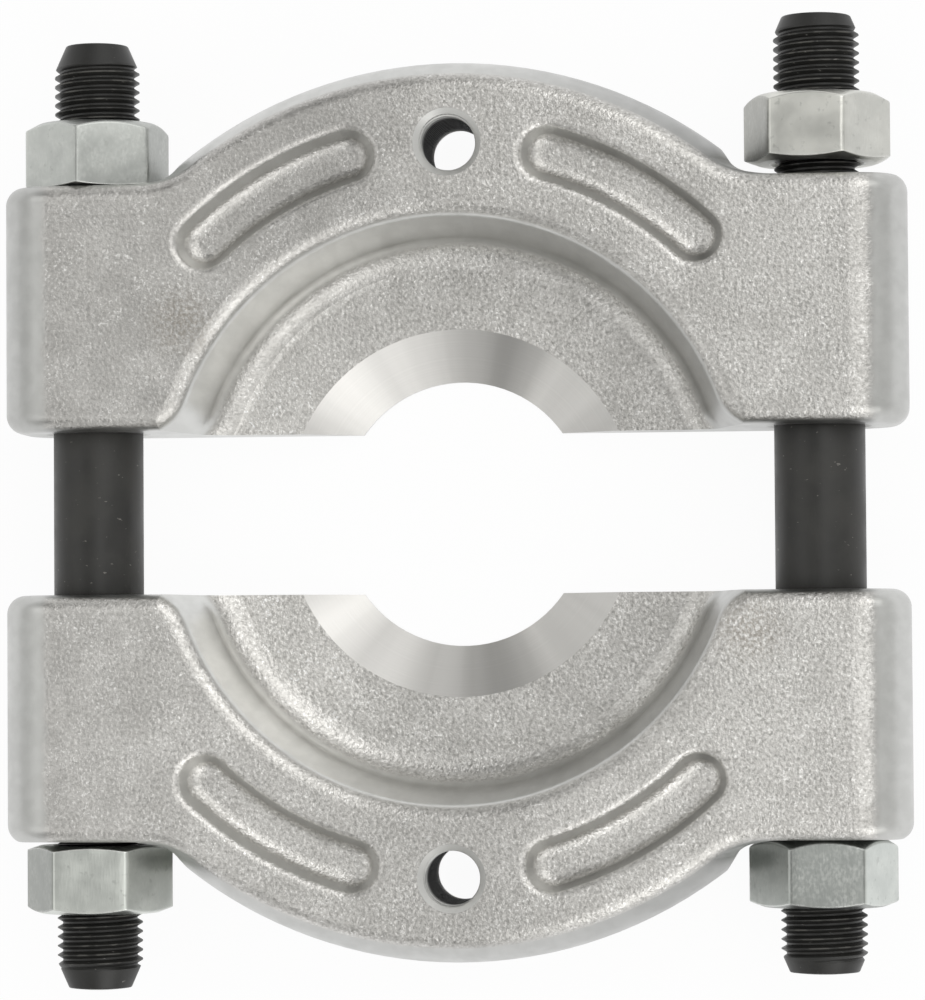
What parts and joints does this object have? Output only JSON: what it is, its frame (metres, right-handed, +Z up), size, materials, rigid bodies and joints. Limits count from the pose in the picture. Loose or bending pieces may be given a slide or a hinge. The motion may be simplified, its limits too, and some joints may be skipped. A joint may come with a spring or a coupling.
{
  "type": "bearing separator",
  "caption": "Two forged half plates with knife edges and a dished recess, drawn together on two long studs by hexagon nuts to grip behind a bearing; tapped holes take a puller.",
  "frame": {"origin": "middle of the outline, on the flat backs that the tool lies on", "axes": "+X from the left stud to the right stud, +Y along the studs towards the upper half, +Z up out of the dished front"},
  "size_m": [0.147, 0.1574, 0.025],
  "materials": {
    "forging": "grainy blasted silver steel, with smooth ground and turned faces",
    "stud": "black oxide, satin",
    "nut": "bright zinc plate, lightly scratched"
  },
  "bodies": {
    "lower_half": {"lower_half": "forging"},
    "upper_half": {"upper_half": "forging"},
    "stud_left": {"stud_left": "stud"},
    "stud_right": {"stud_right": "stud"},
    "nut_upper_left": {"nut_upper_left": "nut"},
    "nut_upper_right": {"nut_upper_right": "nut"},
    "nut_lower_left": {"nut_lower_left": "nut"},
    "nut_lower_right": {"nut_lower_right": "nut"}
  },
  "joints": [
    {"name": "stud_left_slide", "type": "slide", "parent": "lower_half", "child": "stud_left", "axis": [0, 1, 0], "range_m": [-0.013, 0.01]},
    {"name": "stud_right_slide", "type": "slide", "parent": "lower_half", "child": "stud_right", "axis": [0, 1, 0], "range_m": [-0.013, 0.01]},
    {"name": "upper_half_slide", "type": "slide", "parent": "stud_left", "child": "upper_half", "axis": [0, 1, 0], "range_m": [-0.013, 0.012]},
    {"name": "nut_upper_left_spin", "type": "hinge", "parent": "upper_half", "child": "nut_upper_left", "pos_m": [-0.059, 0.05675, 0.0125], "axis": [0, 1, 0], "range_deg": [-3121, 2881]},
    {"name": "nut_upper_right_spin", "type": "hinge", "parent": "upper_half", "child": "nut_upper_right", "pos_m": [0.059, 0.05675, 0.0125], "axis": [0, 1, 0], "range_deg": [-3121, 2881]},
    {"name": "nut_lower_left_spin", "type": "hinge", "parent": "lower_half", "child": "nut_lower_left", "pos_m": [-0.059, -0.05925, 0.0125], "axis": [0, 1, 0], "range_deg": [-2401, 3121]},
    {"name": "nut_lower_right_spin", "type": "hinge", "parent": "lower_half", "child": "nut_lower_right", "pos_m": [0.059, -0.05925, 0.0125], "axis": [0, 1, 0], "range_deg": [-2401, 3121]}
  ],
  "couplings": [
    {"joint": "stud_right_slide", "follows": "stud_left_slide", "ratio": 1},
    {"joint": "nut_upper_left_spin", "follows": "upper_half_slide", "rad_per_m": 4188.8},
    {"joint": "nut_upper_right_spin", "follows": "upper_half_slide", "rad_per_m": 4188.8},
    {"joint": "nut_lower_left_spin", "follows": "stud_left_slide", "rad_per_m": -4188.8},
    {"joint": "nut_lower_right_spin", "follows": "stud_left_slide", "rad_per_m": -4188.8}
  ]
}
